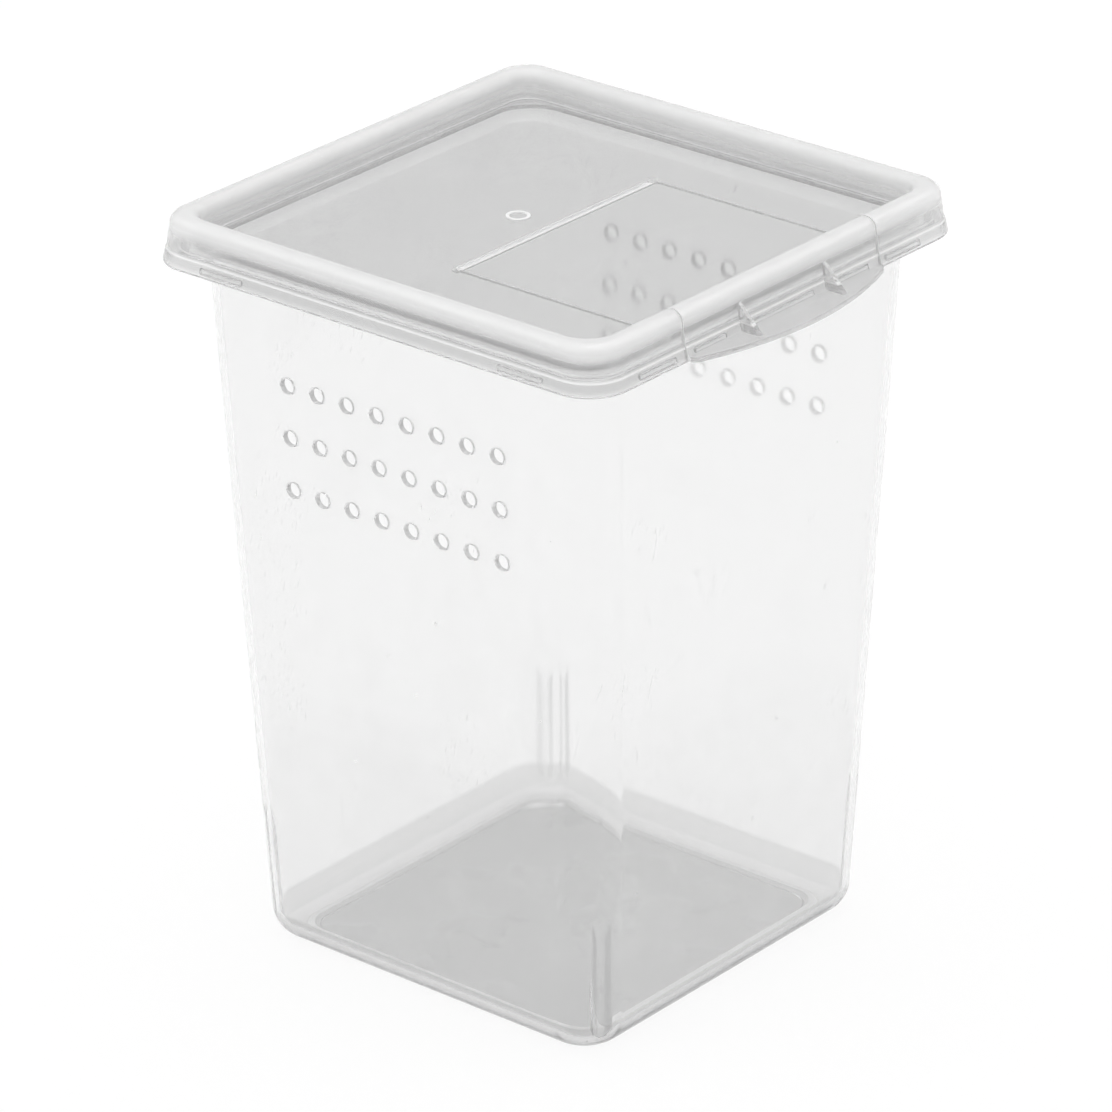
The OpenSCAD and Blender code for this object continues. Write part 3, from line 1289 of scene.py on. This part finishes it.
@dataclass
class LidMoulding:
    """The section that the lid's frame and flap are both cut from. Sizes in mm over the lid's lower edge."""

    seat_height: float = 143.6
    half: float = 55.0
    axis: float = 46.6
    wall: float = 1.0
    skirt_height: float = 7.25
    flare: float = 1.4
    crown: float = 2.3
    lip_height: float = 2.6
    lip_reach: float = 0.25
    lip_rounding: float = 0.15
    panel_top: float = 4.0
    panel_thickness: float = 1.0
    panel_half: float = 48.4
    panel_axis: float = 43.9
    pocket_lean: float = 0.3
    plug_lean: float = 0.4
    edge: float = 0.25
    inner_edge: float = 0.2
    corner_rounding: float = 0.35
    corner_steps: int = 16

    def under_rings(self) -> Profile:
        """The plug's outside, the channel for the tub's rim and the inside of the skirt.

        Returns:
            Its rings.
        """
        plug = self.panel_half + self.wall
        low = self.panel_top - self.panel_thickness
        top = self.skirt_height + self.crown - self.wall
        crown = self.half - self.flare - self.crown
        turn, edge, inner_edge = self.corner_rounding, self.edge, self.inner_edge
        rings = arc(self.panel_axis, plug - edge, low + edge, edge, -90, 0, 3)
        rings += arc(self.panel_axis, plug + self.plug_lean + turn, top - turn, turn, 180, 90, 3)
        rings += arc(self.axis, crown, self.skirt_height, self.crown - self.wall, 90, 0, 8)
        return rings + arc(self.axis, self.half - self.wall + inner_edge, inner_edge, inner_edge, 180, 270, 2)

    def outer_rings(self) -> Profile:
        """The lower lip, the flared skirt and the rounded rim.

        Returns:
            Its rings.
        """
        crown = self.half - self.flare - self.crown
        lip = self.half - self.flare * self.lip_height / self.skirt_height
        turn = self.lip_rounding
        rings = arc(self.axis, self.half - self.edge, self.edge, self.edge, -90, 0, 3)
        rings += arc(self.axis, lip - turn, self.lip_height - turn, turn, 0, 80, 3)
        rings += [Ring(lip - self.lip_reach, self.axis, self.lip_height + turn)]
        return rings + arc(self.axis, crown, self.skirt_height, self.crown, 0, 90, 10)

    def pocket_rings(self) -> Profile:
        """The inner side of the rounded rim and the wall down to the sunk panel.

        Returns:
            Its rings.
        """
        foot = self.corner_rounding
        centre = self.panel_half + self.pocket_lean + self.crown
        rings = arc(self.panel_axis, centre, self.skirt_height, self.crown, 90, 180, 10)
        return rings + arc(self.panel_axis, self.panel_half - foot, self.panel_top + foot, foot, 0, -90, 3)

    def build(self, name: str) -> Piece:
        """Models the whole lid moulding, before the flap is cut from it.

        Args:
            name: The name of the piece that is cut from it.

        Returns:
            Its object.
        """
        low = self.panel_top - self.panel_thickness
        first = Ring(self.panel_half + self.wall - self.edge, self.panel_axis, low)
        rings = [first] + self.under_rings() + self.outer_rings() + self.pocket_rings()
        first, *rings = [Ring(ring.half, ring.axis, ring.z + self.seat_height) for ring in rings]
        model = RingModel("lid_moulding", first, self.corner_steps)
        model.follow(rings)
        piece = model.close()
        piece.name = name
        return piece


@dataclass
class Lid:
    """The lid frame, the feeding flap and the hinge web between them. Sizes in mm."""

    moulding: LidMoulding = field(default_factory=LidMoulding)
    flap_half: float = 28.65
    flap_gap: float = 0.3
    cut_edge: float = 0.15
    # Heights that lie below and above all of the lid, for the blocks that cut it.
    cut_low: float = -2.0
    cut_high: float = 12.0
    strip_half: float = 0.9
    hinge_level: float = 3.7
    web_thickness: float = 0.45
    web_drop: float = 0.1
    web_gap: float = 0.02
    web_cuts: int = 11
    web_dips: tuple[tuple[float, float], ...] = ((0.55, 0.05), (0.3, 0.05))
    relief: float = 1.7
    ledge_reach: float = 61.5
    ledge_radius: float = 78.0
    ledge_thickness: float = 1.0
    ledge_corner: float = 2.2
    ledge_rounding: float = 0.3
    gusset_offset: float = 12.6
    gusset_thickness: float = 1.2
    gusset_height: float = 6.3
    gusset_run: float = 4.3
    gusset_toe: float = 0.05
    gusset_rounding: float = 0.25
    bead_radius: float = 0.7
    bead_line: float = 53.75
    bead_height: float = 0.95
    bead_offset: float = 36.4
    bead_length: float = 10.4
    flap_beads: tuple[tuple[float, float], ...] = ((0.0, 18.5), (-21.2, 9.0), (21.2, 9.0))
    gate_place: tuple[float, float] = (-1.6, 8.2)
    gate_diameter: float = 4.8
    gate_inner: float = 3.4
    gate_height: float = 0.3
    gate_depth: float = 0.8
    gate_rounding: float = 0.12

    def z(self, height: float) -> float:
        """Height over the ground of a height over the lid's lower edge."""
        return self.moulding.seat_height + height

    def skirt(self, height: float) -> float:
        """Half the width of the skirt's outside at a height over its lower edge."""
        return self.moulding.half - self.moulding.flare * height / self.moulding.skirt_height

    def in_panel(self, face: Face) -> bool:
        """Whether a face is part of the panel's top or underside.

        Args:
            face: A face of the lid.

        Returns:
            Whether it is.
        """
        level = face.center.z / MM - self.moulding.seat_height
        top, thickness = self.moulding.panel_top, self.moulding.panel_thickness
        inside = max(abs(face.center.x), abs(face.center.y)) < self.moulding.panel_half * MM
        return inside and abs(face.normal.z) > 0.9 and top - thickness - 0.1 < level < top + 0.1

    def is_whitened(self, face: Face) -> bool:
        """Whether a face lies in the flap's seams or on the gate mark, which get the painted highlight.

        Args:
            face: A face of the lid.

        Returns:
            Whether it does.
        """
        spot, normal = face.center / MM, face.normal
        level = spot.z - self.moulding.seat_height
        side = abs(spot.x) - self.flap_half - self.flap_gap
        beside = abs(side + self.flap_gap / 2) < self.flap_gap and spot.y < self.strip_half
        relief = math.hypot(side, spot.y) < self.relief / 2 + 0.1
        across = abs(abs(spot.y) - self.strip_half) < 0.2 and side < 0
        from_gate = math.hypot(spot.x - self.gate_place[0], spot.y - self.gate_place[1])
        return (
            (beside and abs(normal.x) > 0.5)
            or (relief and abs(normal.z) < 0.5)
            or (across and abs(normal.y) > 0.5)
            or (from_gate < self.gate_diameter / 2 + 0.1 and level > self.moulding.panel_top + 0.05)
        )

    def bead(self, offset: float, length: float, quarter: int) -> Piece:
        """One snap bead on the inside of the skirt.

        Args:
            offset: Its middle along the side.
            length: Its length.
            quarter: Which side, in quarter turns from the front.

        Returns:
            The bead.
        """
        place = (offset, -self.bead_line, self.z(self.bead_height))
        piece = rod("bead", self.bead_radius, length, place, "X", 24)
        soften(piece, self.bead_radius / 2, 60.0, 3)
        piece.matrix_world = Matrix.Rotation(math.radians(90 * quarter), 4, "Z")
        return settle(piece)

    def build_frame(self) -> Piece:
        """Models the fixed part of the lid.

        Returns:
            Its object.
        """
        frame = self.moulding.build("lid_frame_shell")
        side = self.flap_half + self.flap_gap
        low = (-side, -self.ledge_reach, self.z(self.cut_low))
        high = (side, self.strip_half, self.z(self.cut_high))
        combine(frame, block("opening", low, high), Cut.TAKE_AWAY)
        middle = self.z(self.moulding.panel_top)
        holes = [rod("relief", self.relief / 2, 8, (x, 0, middle), "Z", 32) for x in (-side, side)]
        combine(frame, joined(holes, "relief_rods"), Cut.TAKE_AWAY)
        soften(frame, self.cut_edge, 50.0)
        added = [self.gate_ring()]
        for quarter, sign in product(range(4), (-1, 1)):
            added.append(self.bead(sign * self.bead_offset, self.bead_length, quarter))
        combine(frame, joined(added, "frame_beads"), Cut.JOIN)
        smooth(frame)
        return frame

    def gate_ring(self) -> Piece:
        """Models the moulding gate's ring on the panel.

        Returns:
            The ring, reaching into the panel.
        """
        middle = self.z(self.moulding.panel_top) + self.gate_height - self.gate_depth / 2
        piece = rod("gate_ring", self.gate_diameter / 2, self.gate_depth, (*self.gate_place, middle), "Z", 48)
        with editing(piece):
            choose(piece, Part.FACES, lambda face: face.normal.z > 0.9)
            bpy.ops.mesh.inset(thickness=(self.gate_diameter - self.gate_inner) / 2 * MM)
            extrude(0, 0, -self.gate_height)
        soften(piece, self.gate_rounding, 60.0)
        return piece

    def build_flap(self) -> Piece:
        """Models the feeding flap with its ledge, gussets and beads.

        Returns:
            Its object.
        """
        flap = self.moulding.build("feeding_flap")
        low = (-self.flap_half, -self.ledge_reach, self.z(self.cut_low))
        high = (self.flap_half, -self.strip_half, self.z(self.cut_high))
        combine(flap, block("zone", low, high), Cut.KEEP_COMMON)
        soften(flap, self.cut_edge, 50.0)
        combine(flap, self.ledge(), Cut.JOIN)
        added = [self.gusset(side * self.gusset_offset) for side in (-1, 1)]
        added += [self.bead(offset, length, 0) for offset, length in self.flap_beads]
        combine(flap, joined(added, "flap_beads"), Cut.JOIN)
        smooth(flap)
        return flap

    def ledge(self) -> Piece:
        """Models the pull ledge, with its curved outer edge.

        Returns:
            The ledge.
        """
        root = self.moulding.half - self.moulding.wall / 2
        centre = self.ledge_radius - self.ledge_reach
        radius, corner = self.ledge_radius, self.ledge_corner
        corner_x = self.flap_half - corner
        corner_y = centre - math.sqrt((radius - corner) ** 2 - corner_x**2)
        edge_angle = math.atan2(corner_x, centre - corner_y)
        turns = [(math.pi / 2 - edge_angle) * i / 8 for i in range(9)]
        sweep = [edge_angle * (1 - i / 20) for i in range(1, 40)]
        rounding = [(corner_x + corner * math.cos(t), corner_y - corner * math.sin(t)) for t in turns]
        outline = [(self.flap_half, -root)] + rounding
        outline += [(radius * math.sin(t), centre - radius * math.cos(t)) for t in sweep]
        outline += [(-x, y) for x, y in reversed(rounding)] + [(-self.flap_half, -root)]
        piece = plate("ledge", outline, self.z(0), self.ledge_thickness)
        soften(piece, self.ledge_rounding, 50.0, 3)
        return piece

    def gusset(self, x: float) -> Piece:
        """One three-cornered web on the ledge.

        Args:
            x: Its place along the flap.

        Returns:
            The gusset.
        """
        foot = self.skirt(self.ledge_thickness)
        top = self.skirt(self.gusset_height)
        inside = self.moulding.wall / 2
        outline = [
            (foot - inside, self.ledge_thickness / 2),
            (foot + self.gusset_run, self.ledge_thickness / 2),
            (foot + self.gusset_run, self.ledge_thickness + self.gusset_toe),
            (top, self.gusset_height),
            (top - inside, self.gusset_height),
        ]
        piece = plate("gusset", outline, -self.gusset_thickness / 2, self.gusset_thickness)
        soften(piece, self.gusset_rounding, 40.0)
        piece.matrix_world = Matrix(
            ((0, 0, 1, x * MM), (-1, 0, 0, 0), (0, 1, 0, self.z(0) * MM), (0, 0, 0, 1))
        )
        return settle(piece)

    def build_web(self) -> Piece:
        """Models the thin web that lets the flap swing, thinnest along its middle.

        Returns:
            Its object.
        """
        length = self.flap_half + self.flap_gap - self.relief / 2
        top = self.z(self.moulding.panel_top - self.web_drop)
        half = self.strip_half - self.web_gap
        piece = block("hinge_web", (-length, -half, top - self.web_thickness), (length, half, top))
        middle = (top - self.web_thickness / 2) * MM
        with editing(piece):
            choose(piece, Part.EDGES, lambda edge: abs(edge.verts[1].co.y - edge.verts[0].co.y) > 1e-5)
            bpy.ops.mesh.subdivide(number_cuts=self.web_cuts)
            for half, dip in self.web_dips:
                choose(piece, Part.VERTS, lambda spot: abs(spot.co.y) < half * MM and spot.co.z > middle)
                bpy.ops.transform.translate(value=(0, 0, -dip * MM))
        smooth(piece, 60.0)
        return piece


# --------------------------------------------------------------------------- the studio


@dataclass
class Studio:
    """Camera, lamps, floor and background. Sizes in metres, and angles in degrees."""

    place: tuple[float, float, float] = (-0.88799, -0.74575, 0.61485)
    ahead: tuple[float, float, float] = (0.69474466, 0.58412572, -0.41967487)
    right: tuple[float, float, float] = (0.64099098, -0.76751512, -0.00714902)
    lens: float = 214.54
    sensor: float = 36.0
    floor_size: float = 8.0
    floor_drop: float = 0.05 * MM
    floor_colour: str = "FFFFFF"
    floor_glow: tuple[tuple[str, float], ...] = (
        ("Is Camera Ray", 0.85),
        ("Is Transmission Ray", 0.7),
        ("Is Glossy Ray", 0.7),
    )
    tent_level: float = 0.9
    opening_towards: tuple[float, float, float] = (0.72, 0.61, 0.33)
    opening_edge: tuple[float, float] = (14.0, 36.0)
    opening_level: float = 0.45
    # Each lamp's name, place and power in watts.
    soft_boxes: tuple[tuple[str, tuple[float, float, float], float], ...] = (
        ("top_lamp", (0.2, 0.1, 1.3), 4.0),
        ("side_lamp", (-1.3, 0.4, 0.9), 1.0),
    )
    soft_box_size: float = 0.8
    aim: tuple[float, float, float] = (0.0, 0.0, 0.08)

    def build(self) -> None:
        """Sets up the whole studio."""
        self.camera()
        self.background()
        self.floor()
        self.lamps()
        bpy.context.scene.view_settings.view_transform = "Standard"

    def camera(self) -> None:
        """Puts the camera where the photograph was taken from."""
        data = bpy.data.cameras.new("photo_camera")
        data.lens = self.lens
        data.sensor_width = self.sensor
        camera = bpy.data.objects.new("photo_camera", data)
        bpy.context.scene.collection.objects.link(camera)
        ahead, right = Vector(self.ahead).normalized(), Vector(self.right).normalized()
        turn = Matrix((right, right.cross(ahead), -ahead)).transposed()
        camera.matrix_world = Matrix.Translation(self.place) @ turn.to_4x4()
        bpy.context.scene.camera = camera

    def background(self) -> None:
        """A white light tent with one dark opening behind the object, and plain white for the camera.

        The opening is what the lid and the floor mirror at their flat angle, which greys them.
        """
        world = bpy.data.worlds.new("studio_world")
        bpy.context.scene.world = world
        tree = empty_tree(world)
        path = add_node(tree, "LightPath")
        near = add_node(
            tree,
            "VectorMath",
            {"operation": "DOT_PRODUCT"},
            values={1: tuple(Vector(self.opening_towards).normalized())},
            links={0: add_node(tree, "TexCoord").outputs["Generated"]},
        )
        tent = add_node(
            tree,
            "MapRange",
            {"interpolation_type": "SMOOTHSTEP"},
            values={
                "From Min": math.cos(math.radians(self.opening_edge[1])),
                "From Max": math.cos(math.radians(self.opening_edge[0])),
                "To Min": self.tent_level,
                "To Max": self.opening_level,
            },
            links={"Value": near.outputs["Value"]},
        )
        light = add_node(tree, "Background", values={"Color": (1, 1, 1, 1)}, links={"Strength": tent})
        white = add_node(tree, "Background", values={"Color": (1, 1, 1, 1), "Strength": 1.0})
        mix = add_node(tree, "MixShader", links={0: path.outputs["Is Camera Ray"], 1: light, 2: white})
        add_node(tree, "OutputWorld", links={"Surface": mix})

    def floor(self) -> None:
        """A plain white floor a hair under the foot ring, which keeps a trace of the object's shadow."""
        bpy.ops.mesh.primitive_plane_add(size=self.floor_size, location=(0, 0, -self.floor_drop))
        floor = newest("studio_floor")
        material = bpy.data.materials.new("studio_floor_white")
        tree = empty_tree(material)
        diffuse = add_node(tree, "BsdfDiffuse", values={"Color": linear_colour(self.floor_colour)})
        glow = add_node(tree, "Emission", values={"Color": (1, 1, 1, 1), "Strength": 1.0})
        path = add_node(tree, "LightPath")
        share = None
        for kind, level in self.floor_glow:
            shown = add_node(tree, "Math", {"operation": "MULTIPLY"}, {1: level}, {0: path.outputs[kind]})
            if share:
                shown = add_node(tree, "Math", {"operation": "MAXIMUM"}, links={0: share, 1: shown})
            share = shown
        mix = add_node(tree, "MixShader", links={0: share, 1: diffuse, 2: glow})
        add_node(tree, "OutputMaterial", links={"Surface": mix})
        dress(floor, material)

    def lamps(self) -> None:
        """A large soft box overhead, a little behind the object, and a weaker one at the side."""
        for name, place, power in self.soft_boxes:
            data = bpy.data.lights.new(name, "AREA")
            data.size = self.soft_box_size
            data.energy = power
            lamp = bpy.data.objects.new(name, data)
            bpy.context.scene.collection.objects.link(lamp)
            lamp.location = place
            lamp.rotation_euler = (Vector(self.aim) - Vector(place)).to_track_quat("-Z", "Y").to_euler()


# --------------------------------------------------------------------------- the whole


def main() -> None:
    """Builds and dresses every piece."""
    logging.basicConfig(level=logging.INFO, format="%(name)s: %(message)s")
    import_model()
    Studio().build()
    box, lid = Tub(), Lid()
    # Painted highlight: hazy light lines at the flap's seams, the gate and the floor's step.
    whitened = HighlightHazePolypropylene().build()
    lid_plastic = LidPolypropylene(gate=lid.gate_place).build()
    lid_others = (
        (PanelPolypropylene(gate=lid.gate_place).build(), lid.in_panel),
        (whitened, lid.is_whitened),
    )

    tub = box.build()
    dress(
        tub,
        TubPolypropylene().build(),
        (ShearedPolypropylene().build(), box.in_hole),
        (ErodedPolypropylene().build(), box.on_rib_side),
        (ShadedStainedPolypropylene().build(), box.in_floor_panel),
        (whitened, box.on_floor_step),
    )
    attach(tub, Body.TUB.value)
    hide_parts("tub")

    frame = lid.build_frame()
    dress(frame, lid_plastic, *lid_others)
    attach(frame, Body.LID.value)
    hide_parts("lid_frame")

    flap = lid.build_flap()
    dress(flap, lid_plastic, *lid_others)
    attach(flap, Body.FLAP.value)
    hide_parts("feeding_door")

    web = lid.build_web()
    dress(web, FlexedPolypropylene().build())
    hinge = lid.z(lid.hinge_level) * MM
    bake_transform(web)
    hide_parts("living_hinge")

    for piece in (tub, frame, flap, web):
        log.info("%s: %d faces", piece.name, len(piece.data.polygons))


if __name__ == "__main__":
    main()
